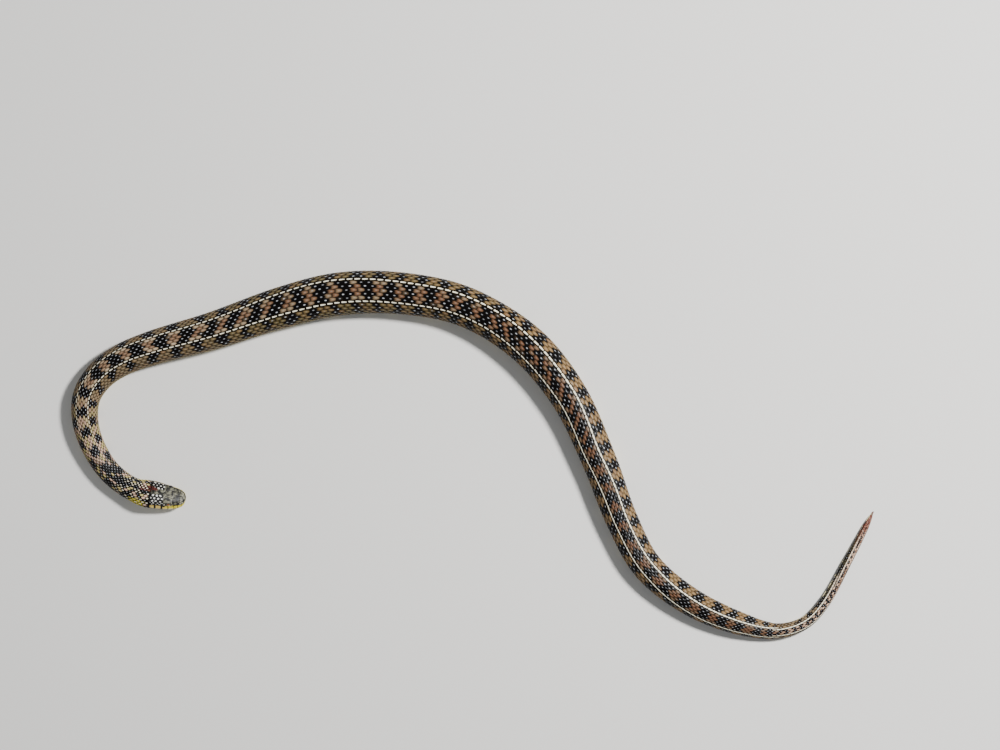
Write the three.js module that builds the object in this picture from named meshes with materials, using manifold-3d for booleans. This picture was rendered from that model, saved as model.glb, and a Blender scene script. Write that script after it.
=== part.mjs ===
// A two-striped viperine water snake at life size, lying on its belly in a long open curve.
// Millimetres, +Z up. The floor is z = 0, X runs to the right and Y up in the view from above.
// Every solid is swept along one line on the floor: s is the distance from the snout along it,
// and across it y is positive to the snake's right.
import * as THREE from "three";
import { mergeVertices } from "three/addons/utils/BufferGeometryUtils.js";
import Module from "manifold-3d";

// The line of the body on the floor, from the snout to the tip of the tail.
const BODY_LINE = [
  [-166.6, -21.6], [-182, -19.8], [-195.5, -17], [-209, -8.5], [-219, 4.5], [-225.5, 22],
  [-225, 38], [-217, 50.5], [-203.5, 60], [-187, 66.5], [-150, 77], [-110, 90.5],
  [-75, 98.5], [-38, 98.5], [-2, 90.5], [33.5, 68.5], [58, 38.5], [76, 0],
  [89, -34], [104, -61.5], [130, -82.5], [160, -95.5], [181, -99.5], [197, -94.5],
  [208.5, -82.5], [222, -58.5], [237.5, -29],
];

const CENTRE = [1.52, 3.86]; // of the outline that the line is measured on; it becomes the origin

// Half the width at distances from the snout: the head, the neck, the body and the tail.
const HALF_WIDTH = [
  [0, 0.9], [0.8, 3.2], [2, 4.7], [4, 5.9], [7, 6.8], [10, 7.4], [14, 8.0], [18, 8.5],
  [21.5, 8.7], [25, 8.3], [30, 7.2], [36, 6.8], [60, 6.9], [90, 8.0], [120, 9.2],
  [150, 10.3], [200, 11.6], [255, 12.8], [300, 12.4], [350, 11.8], [385, 11.9],
  [440, 10.7], [500, 9.5], [555, 8.5], [590, 7.1], [615, 4.7], [645, 3.5],
  [675, 2.75], [690, 2.35], [699, 2.0], [704, 1.5], [707, 0.9], [708, 0.5],
];
const BODY_HEIGHT = 0.82; // of the width
const WIDEST_AT = 0.42; // of the height
const BELLY_DROP = 0.47; // of the height: the floor cuts the belly to a flat strip

// Heights along the head.
const CROWN = [
  [0, 5.4], [0.6, 6.5], [1.6, 7.2], [3.5, 7.9], [7, 8.9], [10, 9.6], [14, 10.3],
  [19, 10.8], [25, 11.0], [34, 11.0],
];
const LIP_LINE = [
  [0, 4.5], [0.6, 3.6], [1.4, 3.3], [4, 3.3], [8, 3.4], [13, 3.8], [18, 4.5], [22, 5.1], [34, 5],
];
const CHIN = [[0, 4.1], [0.5, 2.7], [1.2, 1.6], [2.5, 0.6], [4.5, 0.1], [7, -0.15], [34, -0.3]];
const HEAD_TILT = 24; // degrees, the right cheek up
const HEAD_LIFT = 1.2; // of the tilted head, which then rests on the left side of its jaw
const TILT_AXIS = 5; // its height
const MOUTH_CORNER = 21.2;
const BROW = { at: 9.8, reach: 2.6, out: 0.5, up: 0.3, hollow: 0.45 };
const EYE = { s: 9.7, y: 4.85, z: 6.8, radius: 1.65 };
const SOCKET_RADIUS = 1.95;
const NOSTRIL = { s: 1.75, y: 3.3, z: 6.2, radius: 0.5 };

const GAP = 0.3; // between solids that meet
const RING_STEP = 6.5; // along the body
const HEAD_RINGS = [
  0, 0.25, 0.6, 1.2, 2, 3, 4.4, 6, 7.4, 8.6, 9.8, 11, 12.4, 14, 16, 18.5, 21, 23.5, 26, 28, 29.85,
];
const BODY_POINTS = 13; // on each half of a ring
const HEAD_POINTS = 22;

// The body between the head and the tip, in lengths that each bend gently.
const LENGTHS = [
  ["neck_front", 30, 56], ["neck_rear", 56, 84], ["trunk_1", 84, 118], ["trunk_2", 118, 180],
  ["trunk_3", 180, 240], ["trunk_4", 240, 295], ["trunk_5", 295, 345], ["trunk_6", 345, 395],
  ["trunk_7", 395, 450], ["trunk_8", 450, 505], ["trunk_9", 505, 555], ["trunk_10", 555, 598],
  ["tail_base", 598, 634], ["tail_middle", 634, 670], ["tail_tip", 670, 708],
];

const line = new THREE.CatmullRomCurve3(
  BODY_LINE.map(([x, y]) => new THREE.Vector3(x - CENTRE[0], y - CENTRE[1], 0)), false, "centripetal");
line.arcLengthDivisions = 4000;
const LENGTH = line.getLength();

const clamp = (v, low, high) => Math.min(Math.max(v, low), high);
const smooth = (low, high, v) => {
  const t = clamp((v - low) / (high - low), 0, 1);
  return t * t * (3 - 2 * t);
};

// A smooth curve through [distance, value] stations.
function along(stations, s) {
  const last = stations.length - 1;
  let i = 0;
  while (i < last - 1 && s > stations[i + 1][0]) i++;
  const [before, a, b, after] = [i - 1, i, i + 1, i + 2].map((k) => stations[clamp(k, 0, last)]);
  const run = b[0] - a[0];
  const t = clamp((s - a[0]) / run, 0, 1);
  const slopeA = (b[1] - before[1]) / (b[0] - before[0]) * run;
  const slopeB = (after[1] - a[1]) / (after[0] - a[0]) * run;
  const rise = b[1] - a[1];
  return a[1] + t * (slopeA + t * (3 * rise - 2 * slopeA - slopeB + t * (slopeA + slopeB - 2 * rise)));
}

// The point at distance s, y to the snake's right and z above the floor.
function place(s, y, z) {
  const u = clamp(s / LENGTH, 0, 1);
  const at = line.getPointAt(u);
  const t = line.getTangentAt(u);
  return new THREE.Vector3(at.x - t.y * y, at.y + t.x * y, Math.max(z, 0));
}

// The same on the head, whose right cheek is tilted up. The tilt fades out along the neck.
function placeTilted(s, y, z) {
  const share = 1 - smooth(20, 44, s);
  const tilt = THREE.MathUtils.degToRad(-HEAD_TILT) * share;
  const up = z - TILT_AXIS;
  return place(
    s,
    y * Math.cos(tilt) + up * Math.sin(tilt),
    TILT_AXIS + HEAD_LIFT * share - y * Math.sin(tilt) + up * Math.cos(tilt));
}

// Half of the body's section, from the back (u = 0) to the belly (u = 1).
function bodySection(s, u) {
  const a = along(HALF_WIDTH, s);
  const height = 2 * a * BODY_HEIGHT;
  const centre = WIDEST_AT * height;
  const c = Math.cos(Math.PI * u);
  const sine = Math.sin(Math.PI * u);
  if (u <= 0.5) return [a * sine, centre + (height - centre) * c];
  return [a * sine ** 0.8, centre - BELLY_DROP * height * (-c) ** 0.8];
}

// Half of the head's section: crown, brow, cheek, upper lip, mouth line, lower lip and chin.
function headSection(s, u) {
  const a = along(HALF_WIDTH, s);
  const [top, lip, chin] = [CROWN, LIP_LINE, CHIN].map((stations) => along(stations, s));
  const high = top - lip;
  const low = lip - chin;
  const brow = Math.exp(-(((s - BROW.at) / BROW.reach) ** 2));
  const corners = [
    [0, top],
    [0.37 * a, top - 0.03 * high],
    [0.67 * a + BROW.out * brow, top - 0.16 * high + BROW.up * brow],
    [0.81 * a - BROW.hollow * brow, top - 0.4 * high],
    [0.9 * a - 0.5 * BROW.hollow * brow, top - 0.64 * high],
    [0.97 * a, lip + 0.16 * high],
    [a, lip],
    [0.93 * a, chin + 0.78 * low],
    [0.8 * a, chin + 0.38 * low],
    [0.6 * a, chin + 0.06 * low],
    [0.34 * a, chin - 0.1],
    [0, chin - 0.2],
  ];
  const k = u * (corners.length - 1);
  const i = Math.min(Math.floor(k), corners.length - 2);
  const t = k - i;
  const mirror = (n) => {
    if (n < 0) return [-corners[1][0], corners[1][1]];
    if (n >= corners.length) return [-corners[n - 2][0], corners[n - 2][1]];
    return corners[n];
  };
  const [p, q, r, w] = [i - 1, i, i + 1, i + 2].map(mirror);
  return [0, 1].map((d) => 0.5 * (2 * q[d] + t * (r[d] - p[d]
    + t * (2 * p[d] - 5 * q[d] + 4 * r[d] - w[d] + t * (3 * q[d] - p[d] - 3 * r[d] + w[d])))));
}

// A whole ring of points round the body at distance s.
function ring(s, halfPoints) {
  const bodyShare = smooth(20, 36, s);
  const points = [];
  for (let j = 0; j < 2 * halfPoints; j++) {
    const side = j <= halfPoints ? 1 : -1;
    const u = j <= halfPoints ? j / halfPoints : 2 - j / halfPoints;
    const [by, bz] = bodySection(s, u);
    const [hy, hz] = bodyShare < 1 ? headSection(s, u) : [by, bz];
    const y = hy + (by - hy) * bodyShare;
    const z = hz + (bz - hz) * bodyShare;
    points.push(placeTilted(s, side * y, z));
  }
  return points;
}

// A closed solid over rings with the same number of points, with a flat cap at each end.
function loft(rings) {
  const count = rings[0].length;
  const points = rings.flat();
  const faces = [];
  for (let i = 0; i + 1 < rings.length; i++) {
    for (let j = 0; j < count; j++) {
      const a = i * count + j;
      const b = i * count + (j + 1) % count;
      faces.push([a, b, b + count], [a, b + count, a + count]);
    }
  }
  for (const [r, turned] of [[0, false], [rings.length - 1, true]]) {
    const centre = rings[r].reduce((sum, p) => sum.add(p), new THREE.Vector3()).divideScalar(count);
    points.push(centre);
    for (let j = 0; j < count; j++) {
      const a = r * count + j;
      const b = r * count + (j + 1) % count;
      faces.push(turned ? [a, b, points.length - 1] : [b, a, points.length - 1]);
    }
  }
  return facedOut(points, faces.flat());
}

// A geometry whose faces point outwards.
function facedOut(points, index) {
  let volume = 0;
  for (let k = 0; k < index.length; k += 3) {
    const [a, b, c] = [0, 1, 2].map((n) => points[index[k + n]]);
    volume += a.dot(new THREE.Vector3().crossVectors(b, c));
  }
  if (volume < 0) index.reverse();
  const geometry = new THREE.BufferGeometry().setFromPoints(points);
  geometry.setIndex(index);
  return geometry;
}

const wasm = await Module();
wasm.setup();

function solid(geometry) {
  const bare = geometry.clone();
  bare.deleteAttribute("normal");
  bare.deleteAttribute("uv");
  const merged = mergeVertices(bare, 1e-4);
  return new wasm.Manifold(new wasm.Mesh({
    numProp: 3,
    vertProperties: new Float32Array(merged.attributes.position.array),
    triVerts: new Uint32Array(merged.index.array),
  }));
}

function geometryOf(manifold) {
  const mesh = manifold.getMesh();
  const geometry = new THREE.BufferGeometry();
  geometry.setAttribute("position", new THREE.BufferAttribute(new Float32Array(mesh.vertProperties), 3));
  geometry.setIndex(new THREE.BufferAttribute(new Uint32Array(mesh.triVerts), 1));
  return geometry;
}

function ball(radius, centre, columns, rows) {
  return new THREE.SphereGeometry(radius, columns, rows).translate(centre.x, centre.y, centre.z);
}

// The block below the line of the mouth and in front of its corners, grown by a margin.
function mouthBlock(margin) {
  const corner = MOUTH_CORNER + margin;
  const outline = [[-3, along(LIP_LINE, 1.4) + margin]];
  for (const s of [1.4, 4, 7, 10, 13, 16, 19, corner]) outline.push([s, along(LIP_LINE, s) + margin]);
  outline.push([corner + 1.2, -4], [-3, -4]);
  const shape = new THREE.Shape(outline.map(([s, z]) => new THREE.Vector2(s, z)));
  const block = new THREE.ExtrudeGeometry(shape, { depth: 30, bevelEnabled: false });
  const at = block.attributes.position;
  const [start, snout] = [line.getPointAt(0), line.getTangentAt(0)];
  for (let k = 0; k < at.count; k++) {
    const [s, z, across] = [at.getX(k), at.getY(k), at.getZ(k) - 15];
    const tilt = THREE.MathUtils.degToRad(-HEAD_TILT);
    const y = across * Math.cos(tilt) + (z - TILT_AXIS) * Math.sin(tilt);
    const up = TILT_AXIS + HEAD_LIFT - across * Math.sin(tilt) + (z - TILT_AXIS) * Math.cos(tilt);
    at.setXYZ(k, start.x + snout.x * s - snout.y * y, start.y + snout.y * s + snout.x * y, up);
  }
  const points = [];
  for (let k = 0; k < at.count; k++) points.push(new THREE.Vector3().fromBufferAttribute(at, k));
  return facedOut(points, points.map((p, k) => k));
}

const snake = new THREE.Group();
snake.name = "viperine_water_snake";

const materials = {
  skin: new THREE.MeshStandardMaterial({ color: 0x6b5638, roughness: 0.45, metalness: 0 }),
  crown: new THREE.MeshStandardMaterial({ color: 0x5d6150, roughness: 0.4, metalness: 0 }),
  lips: new THREE.MeshStandardMaterial({ color: 0xcfc27e, roughness: 0.45, metalness: 0 }),
  eye: new THREE.MeshStandardMaterial({ color: 0x3a2a16, roughness: 0.08, metalness: 0 }),
};

function addNode(name, geometry, material) {
  const node = new THREE.Mesh(geometry, material);
  node.name = name;
  snake.add(node);
}

const fullHead = solid(loft(HEAD_RINGS.map((s) => ring(s, HEAD_POINTS))));
const sides = [["right", 1], ["left", -1]];
let head = fullHead.subtract(solid(mouthBlock(GAP / 2)));
for (const [side, sign] of sides) {
  const eyeAt = placeTilted(EYE.s, sign * EYE.y, EYE.z);
  head = head.subtract(solid(ball(SOCKET_RADIUS, eyeAt, 20, 14)));
  const nostrilAt = placeTilted(NOSTRIL.s, sign * NOSTRIL.y, NOSTRIL.z);
  head = head.subtract(solid(ball(NOSTRIL.radius, nostrilAt, 10, 8)));
  addNode(`eye_${side}`, ball(EYE.radius, eyeAt, 18, 12), materials.eye);
}
addNode("head", geometryOf(head), materials.crown);
addNode("lower_jaw", geometryOf(fullHead.intersect(solid(mouthBlock(-GAP / 2)))), materials.lips);

LENGTHS.forEach(([name, from, to], n) => {
  const start = from + GAP / 2;
  const end = Math.min(to, LENGTH) - (n === LENGTHS.length - 1 ? 0 : GAP / 2);
  const steps = Math.ceil((end - start) / (name.startsWith("neck") ? RING_STEP - 1.5 : RING_STEP));
  const rings = [];
  for (let k = 0; k <= steps; k++) rings.push(ring(start + (end - start) * k / steps, BODY_POINTS));
  addNode(name, loft(rings), materials.skin);
});

export default snake;
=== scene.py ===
import math
from types import SimpleNamespace

import bpy
import numpy as np
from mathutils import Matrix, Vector
from mathutils.kdtree import KDTree


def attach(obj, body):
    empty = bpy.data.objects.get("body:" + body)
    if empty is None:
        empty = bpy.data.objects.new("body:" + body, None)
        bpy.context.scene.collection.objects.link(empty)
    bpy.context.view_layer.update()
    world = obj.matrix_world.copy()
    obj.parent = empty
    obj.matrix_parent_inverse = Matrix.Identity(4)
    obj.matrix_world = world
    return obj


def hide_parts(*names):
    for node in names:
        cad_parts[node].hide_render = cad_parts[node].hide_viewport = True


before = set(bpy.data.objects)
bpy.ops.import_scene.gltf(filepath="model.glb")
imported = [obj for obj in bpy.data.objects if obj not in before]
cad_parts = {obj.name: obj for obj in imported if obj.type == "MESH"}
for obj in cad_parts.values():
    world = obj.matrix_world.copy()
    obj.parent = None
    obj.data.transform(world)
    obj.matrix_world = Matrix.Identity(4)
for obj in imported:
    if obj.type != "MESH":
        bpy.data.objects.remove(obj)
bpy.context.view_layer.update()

# The skin is one dry hide over the whole animal, from the snout to the tip of the tail, with the
# head's shields, the groove of the mouth and the nostrils raised and sunk in its own surface. It
# follows the tube of muscle under it, inside the body's outline by the depth of the scales.

# The body's shape. Distances here are millimetres from the snout, and a turn is degrees round
# the body from the mid-back, positive to the snake's right.
BODY_LINE = [
    (-166.6, -21.6), (-182, -19.8), (-195.5, -17), (-209, -8.5), (-219, 4.5), (-225.5, 22),
    (-225, 38), (-217, 50.5), (-203.5, 60), (-187, 66.5), (-150, 77), (-110, 90.5), (-75, 98.5),
    (-38, 98.5), (-2, 90.5), (33.5, 68.5), (58, 38.5), (76, 0), (89, -34), (104, -61.5),
    (130, -82.5), (160, -95.5), (181, -99.5), (197, -94.5), (208.5, -82.5), (222, -58.5),
    (237.5, -29),
]
LINE_CENTRE = (1.52, 3.86)
HALF_WIDTH = [
    (0, 0.9), (0.8, 3.2), (2, 4.7), (4, 5.9), (7, 6.8), (10, 7.4), (14, 8), (18, 8.5),
    (21.5, 8.7), (25, 8.3), (30, 7.2), (36, 6.8), (60, 6.9), (90, 8), (120, 9.2), (150, 10.3),
    (200, 11.6), (255, 12.8), (300, 12.4), (350, 11.8), (385, 11.9), (440, 10.7), (500, 9.5),
    (555, 8.5), (590, 7.1), (615, 4.7), (645, 3.5), (675, 2.75), (690, 2.35), (699, 2),
    (704, 1.5), (707, 0.9), (708, 0.5),
]
BODY_HEIGHT, WIDEST_AT, BELLY_DROP = 0.82, 0.42, 0.47  # as shares of the width or the height
CROWN = [
    (0, 5.4), (0.6, 6.5), (1.6, 7.2), (3.5, 7.9), (7, 8.9), (10, 9.6), (14, 10.3), (19, 10.8),
    (25, 11), (34, 11),
]
LIP_LINE = [
    (0, 4.5), (0.6, 3.6), (1.4, 3.3), (4, 3.3), (8, 3.4), (13, 3.8), (18, 4.5), (22, 5.1),
    (34, 5),
]
CHIN = [(0, 4.1), (0.5, 2.7), (1.2, 1.6), (2.5, 0.6), (4.5, 0.1), (7, -0.15), (34, -0.3)]
HEAD_TILT, TILT_AXIS, HEAD_LIFT = 24, 5, 1.2
BROW_AT, BROW_REACH, BROW_OUT, BROW_UP, BROW_HOLLOW = 9.8, 2.6, 0.5, 0.3, 0.45
HEAD_BLENDS, TILT_FADES = (20, 36), (20, 44)  # from the head's section and tilt to the body's
HEAD_CORNERS, CORNER_STEPS = 11, 30
TABLE_STEP = 0.5


def along(stations, s):
    """A smooth curve through stations of (distance, value)."""
    x, y = np.array(stations, float).T
    a = np.searchsorted(x[1:-1], s, side="left")
    b, before, after = a + 1, np.maximum(a - 1, 0), np.minimum(a + 2, len(x) - 1)
    run = x[b] - x[a]
    t = np.clip((s - x[a]) / run, 0, 1)
    slope_a = (y[b] - y[before]) / (x[b] - x[before]) * run
    slope_b = (y[after] - y[a]) / (x[after] - x[a]) * run
    rise = y[b] - y[a]
    bend = slope_a + slope_b - 2 * rise
    return y[a] + t * (slope_a + t * (3 * rise - 2 * slope_a - slope_b + t * bend))


def smooth(low, high, v):
    """0 below low, 1 above high, smooth between."""
    t = np.clip((v - low) / (high - low), 0, 1)
    return t * t * (3 - 2 * t)


def body_line(points, pieces=80):
    """Even points on the centripetal curve through the line's points, as (distance, x, y)."""
    p = np.array(points, float) - LINE_CENTRE
    p = np.vstack([2 * p[0] - p[1], p, 2 * p[-1] - p[-2]])
    t = np.linspace(0, 1, pieces, endpoint=False)[:, None]
    drawn = []
    for p0, p1, p2, p3 in zip(p, p[1:], p[2:], p[3:]):
        d0, d1, d2 = (np.linalg.norm(b - a) ** 0.5 for a, b in ((p0, p1), (p1, p2), (p2, p3)))
        t1 = ((p1 - p0) / d0 - (p2 - p0) / (d0 + d1) + (p2 - p1) / d1) * d1
        t2 = ((p2 - p1) / d1 - (p3 - p1) / (d1 + d2) + (p3 - p2) / d2) * d1
        drawn.append(p1 + t1 * t + (3 * (p2 - p1) - 2 * t1 - t2) * t**2
                     + (2 * (p1 - p2) + t1 + t2) * t**3)
    drawn = np.vstack(drawn + [p[-2:-1]])
    steps = np.linalg.norm(np.diff(drawn, axis=0), axis=1)
    return np.concatenate([[0], np.cumsum(steps)]), drawn


LINE_S, LINE_XY = body_line(BODY_LINE)
LINE_SLOPE = np.gradient(LINE_XY, LINE_S, axis=0)
LENGTH = LINE_S[-1]


def body_section(s, u):
    """Half of the body's section, from the back at u = 0 to the belly at u = 1."""
    a = along(HALF_WIDTH, s)
    high = 2 * a * BODY_HEIGHT
    middle = WIDEST_AT * high
    c, sine = np.cos(np.pi * u), np.maximum(np.sin(np.pi * u), 0)
    low = np.maximum(-c, 0) ** 0.8
    upper = u <= 0.5
    return (np.where(upper, a * sine, a * sine**0.8),
            np.where(upper, middle + (high - middle) * c, middle - BELLY_DROP * high * low))


def head_section(s, u):
    """Half of the head's section: crown, brow, cheek, upper lip, mouth, lower lip and chin."""
    a, top, lip, chin = (along(v, s) for v in (HALF_WIDTH, CROWN, LIP_LINE, CHIN))
    high, low = top - lip, lip - chin
    brow = np.exp(-(((s - BROW_AT) / BROW_REACH) ** 2))
    y = [0 * a, 0.37 * a, 0.67 * a + BROW_OUT * brow, 0.81 * a - BROW_HOLLOW * brow,
         0.9 * a - 0.5 * BROW_HOLLOW * brow, 0.97 * a, a, 0.93 * a, 0.8 * a, 0.6 * a, 0.34 * a,
         0 * a]
    z = [top, top - 0.03 * high, top - 0.16 * high + BROW_UP * brow, top - 0.4 * high,
         top - 0.64 * high, lip + 0.16 * high, lip, chin + 0.78 * low, chin + 0.38 * low,
         chin + 0.06 * low, chin - 0.1, chin - 0.2]
    corners = np.array([[-y[1], z[1]], *zip(y, z), [-y[-2], z[-2]]])
    k = u * HEAD_CORNERS
    i = np.minimum(k.astype(int), HEAD_CORNERS - 1)
    t = k - i
    n = np.arange(len(s))
    p, q, r, w = (corners[i + d, :, n].T for d in range(4))
    bend = 2 * p - 5 * q + 4 * r - w
    return 0.5 * (2 * q + t * (r - p + t * (bend + t * (3 * q - p - 3 * r + w))))


def place(s, y, z):
    """Points beside and above the line, on a head that is tilted with its right cheek up."""
    share = 1 - smooth(*TILT_FADES, s)
    tilt = np.radians(-HEAD_TILT) * share
    y, z = (y * np.cos(tilt) + (z - TILT_AXIS) * np.sin(tilt),
            TILT_AXIS + HEAD_LIFT * share - y * np.sin(tilt) + (z - TILT_AXIS) * np.cos(tilt))
    tx, ty = (np.interp(s, LINE_S, LINE_SLOPE[:, i]) for i in range(2))
    unit = np.hypot(tx, ty)
    x0, y0 = (np.interp(s, LINE_S, LINE_XY[:, i]) for i in range(2))
    return np.stack([x0 - ty / unit * y, y0 + tx / unit * y, np.maximum(z, 0)], -1)


def surface_table():
    """Points on the body at every half millimetre and degree, and the head's corners in turns."""
    u = np.linspace(0, 1, HEAD_CORNERS * CORNER_STEPS + 1)
    degrees = np.arange(181)
    rows, corner_turns = [], []
    for s in np.arange(0, LENGTH + TABLE_STEP, TABLE_STEP):
        at = np.full(len(u), min(s, LENGTH - 0.01))
        share = smooth(*HEAD_BLENDS, at)
        half = np.array(body_section(at, u)) * share
        if share[0] < 1:
            half = half + head_section(at, u) * (1 - share)
        around = np.concatenate([[0], np.cumsum(np.hypot(*np.diff(half, axis=1)))])
        turns = around / around[-1] * 180
        y, z = (np.interp(degrees, turns, v) for v in half)
        y, z = np.concatenate([-y[:0:-1], y]), np.concatenate([z[:0:-1], z])
        rows.append(place(np.full(len(y), at[0]), y, z))
        corner_turns.append(turns[::CORNER_STEPS])
    return np.array(rows), np.array(corner_turns)


SURFACE, CORNER_TURNS = surface_table()
TO_TAIL, TO_RIGHT = np.gradient(SURFACE, axis=(0, 1))
NORMALS = np.cross(TO_TAIL, TO_RIGHT)
NORMALS /= np.maximum(np.linalg.norm(NORMALS, axis=2), 1e-9)[:, :, None]


def looked_up(table, i, j):
    """The table's values between its rows i and its columns j."""
    i0, j0 = i.astype(int), j.astype(int)
    fi, fj = (i - i0)[:, None], (j - j0)[:, None]
    return ((table[i0, j0] * (1 - fj) + table[i0, j0 + 1] * fj) * (1 - fi)
            + (table[i0 + 1, j0] * (1 - fj) + table[i0 + 1, j0 + 1] * fj) * fi)


def wrapped(s, turn, height):
    """Metres, for points at a height in millimetres over the body's surface."""
    s, turn, height = np.broadcast_arrays(*(np.asarray(v, float) for v in (s, turn, height)))
    i = np.clip(s / TABLE_STEP, 0, len(SURFACE) - 1.001)
    j = (turn + 180) % 360
    normal = looked_up(NORMALS, i, j)
    normal /= np.linalg.norm(normal, axis=1)[:, None]
    return (looked_up(SURFACE, i, j) + normal * height[:, None]) / 1000


# The skin's markings. Two pale stripes run a third of the way down each side of the back, with
# rows of scales counted from the mid-back out, and dark bars at uneven steps along it. All of
# it leans with the body, which lies a little rolled.
LEAN = [
    (0, 0), (24, 0), (44, -9), (60, -5), (90, 6), (120, 13), (150, 9), (180, 8), (210, 8),
    (240, 10), (270, 6), (300, 0), (330, -0.5), (360, -3), (380, -9), (400, -11), (420, -10),
    (440, -15), (450, -17.5), (460, -15), (480, -6), (500, -7), (530, -4), (550, -13),
    (575, -19), (600, -16.5), (620, -9), (645, -18), (675, -15), (708, -10),
]
STRIPE_TURN = [
    (20, 28), (120, 28.5), (180, 28), (210, 31.5), (240, 35), (270, 34.4), (300, 33),
    (400, 32.4), (440, 30), (480, 27.6), (500, 26.5), (530, 28.5), (560, 32.5), (600, 31.5),
    (640, 33), (708, 36),
]
STRIPE_ROW = [(20, 3), (590, 3), (625, 2.1), (670, 1.4), (708, 1)]
EDGE_ROW = [
    (20, 9.5), (90, 10.5), (400, 10.5), (540, 8.5), (600, 8), (625, 5.5), (660, 4), (690, 2.9),
    (708, 2),
]
FLANK_TURN = 114  # where the belly plates begin
BAR_COUNT = [
    (0, -5), (63, 0), (124, 5), (183, 9), (237, 13), (290, 17), (348, 22), (379, 25),
    (416.5, 28), (450, 31.3), (481, 34), (530, 38), (569, 41), (591, 43), (610, 45), (640, 52),
    (708, 73),
]
BAR_STAGGER = [
    (0, 0), (155, 0), (175, -0.14), (222, -0.14), (240, 0), (345, 0), (362, 0.24), (432, 0.24),
    (455, 0), (708, 0),
]


def row_spread(s):
    """The two numbers p and q of turn = p row + q row^2, the rows being wider down the flank."""
    turn, n, edge = (along(v, s) for v in (STRIPE_TURN, STRIPE_ROW, EDGE_ROW))
    q = (FLANK_TURN / edge - turn / n) / (edge - n)
    return turn / n - q * n, q


def marks(s, turn):
    """For points at a turn from the leaning mid-back: distance, rows outside the stripe, bar."""
    p, q = row_spread(s)
    size = np.abs(turn)
    q = np.where(np.abs(q) < 1e-4, 1e-4, q)
    row = (-p + np.sqrt(np.maximum(p * p + 4 * q * size, 0))) / (2 * q)
    bar = along(BAR_COUNT, s) + np.sign(turn) * along(BAR_STAGGER, s)
    return np.stack([s, row - along(STRIPE_ROW, s), bar], -1)


# The skin's colours. Black bars and rust lie between the stripes and ochre with black blotches
# on the flanks. The neck has a black net, and the tail is pale and speckled.
def add_node(tree, kind, settings=None, values=None):
    """A node of a tree, with its settings, then the values or links of its sockets."""
    made = tree.nodes.new(kind)
    for name, value in (settings or {}).items():
        setattr(made, name, value)
    for name, value in (values or {}).items():
        if isinstance(value, (Wire, bpy.types.NodeSocket)):
            tree.links.new(getattr(value, "socket", value), made.inputs[name])
        else:
            made.inputs[name].default_value = value
    return made


class Wire:
    """A node's output that takes part in arithmetic."""

    def __init__(self, finish, socket):
        self.finish, self.socket = finish, socket

    def math(self, operation, *values):
        settings = {"operation": operation}
        return self.finish.wire("ShaderNodeMath", settings, dict(enumerate(values)))

    def __add__(self, other):
        return self.math("ADD", self, other)

    def __sub__(self, other):
        return self.math("SUBTRACT", self, other)

    def __rsub__(self, other):
        return self.math("SUBTRACT", other, self)

    def __mul__(self, other):
        return self.math("MULTIPLY", self, other)

    __radd__, __rmul__ = __add__, __mul__

    def one(self, operation):
        return self.math(operation, self)

    def or_else(self, other):
        return self.math("MAXIMUM", self, other)

    def rise(self, low, high):
        """0 below low, 1 above high, smooth between."""
        settings = {"interpolation_type": "SMOOTHSTEP"}
        return self.finish.wire("ShaderNodeMapRange", settings, {0: self, 1: low, 2: high})

    def within(self, low, high, soft):
        """1 between low and high, 0 past a soft edge."""
        return self.rise(low - soft, low + soft) * (1 - self.rise(high - soft, high + soft))

    def off_middle(self):
        """The distance of a running number from the nearest whole one."""
        return ((self + 0.5).one("FRACT") - 0.5).one("ABSOLUTE")


class Finish:
    """A material, and the wires of its nodes."""

    def __init__(self, name):
        self.material = bpy.data.materials.new(name)
        self.material.use_nodes = True
        self.tree = self.material.node_tree
        self.tree.nodes.clear()

    def wire(self, kind, settings=None, values=None, output=0):
        return Wire(self, add_node(self.tree, kind, settings, values).outputs[output])

    def parts(self, name):
        """The three numbers of a vector attribute."""
        settings = {"attribute_name": name}
        vector = self.wire("ShaderNodeAttribute", settings, output="Vector")
        made = add_node(self.tree, "ShaderNodeSeparateXYZ", {}, {0: vector})
        return [Wire(self, made.outputs[i]) for i in range(3)]

    def mix(self, a, b, share):
        return self.wire("ShaderNodeMix", {"data_type": "RGBA"}, {0: share, 6: a, 7: b}, 2)

    def speckle(self, scale, detail=2.0):
        at = self.wire("ShaderNodeTexCoord", output="Object")
        values = {"Vector": at, "Scale": scale, "Detail": detail}
        return self.wire("ShaderNodeTexNoise", {}, values)

    def finish(self, colour, roughness, height=None, depth=0.0, **sockets):
        values = {"Base Color": colour, "Roughness": roughness, **sockets}
        if height is not None:
            bump = {"Height": height, "Distance": depth}
            values["Normal"] = self.wire("ShaderNodeBump", {}, bump)
        shader = self.wire("ShaderNodeBsdfPrincipled", {}, values)
        add_node(self.tree, "ShaderNodeOutputMaterial", {}, {"Surface": shader})
        return self.material


def paint(red, green, blue):
    """A colour read as it is seen, 0 to 255, in the renderer's own numbers."""
    return (*(((v / 255 + 0.055) / 1.055) ** 2.4 for v in (red, green, blue)), 1)


BLACK = paint(8, 6, 6)
RUST, DARK_RUST = paint(98, 64, 44), paint(90, 69, 50)
OLIVE, FRONT_OLIVE, TAIL_SHADE_OLIVE = paint(90, 78, 48), paint(110, 94, 70), paint(52, 48, 32)
OCHRE = paint(122, 97, 65)
TAN, FRONT_TAN = paint(124, 106, 82), paint(168, 146, 118)
CREAM, STRAW, YELLOW = paint(238, 232, 208), paint(182, 166, 108), paint(222, 204, 52)
SALMON, PINK = paint(198, 164, 142), paint(196, 164, 140)
NAPE_RED, TIP_RED = paint(78, 34, 28), paint(104, 36, 28)
BELLY_PALE = paint(216, 204, 160)
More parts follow.
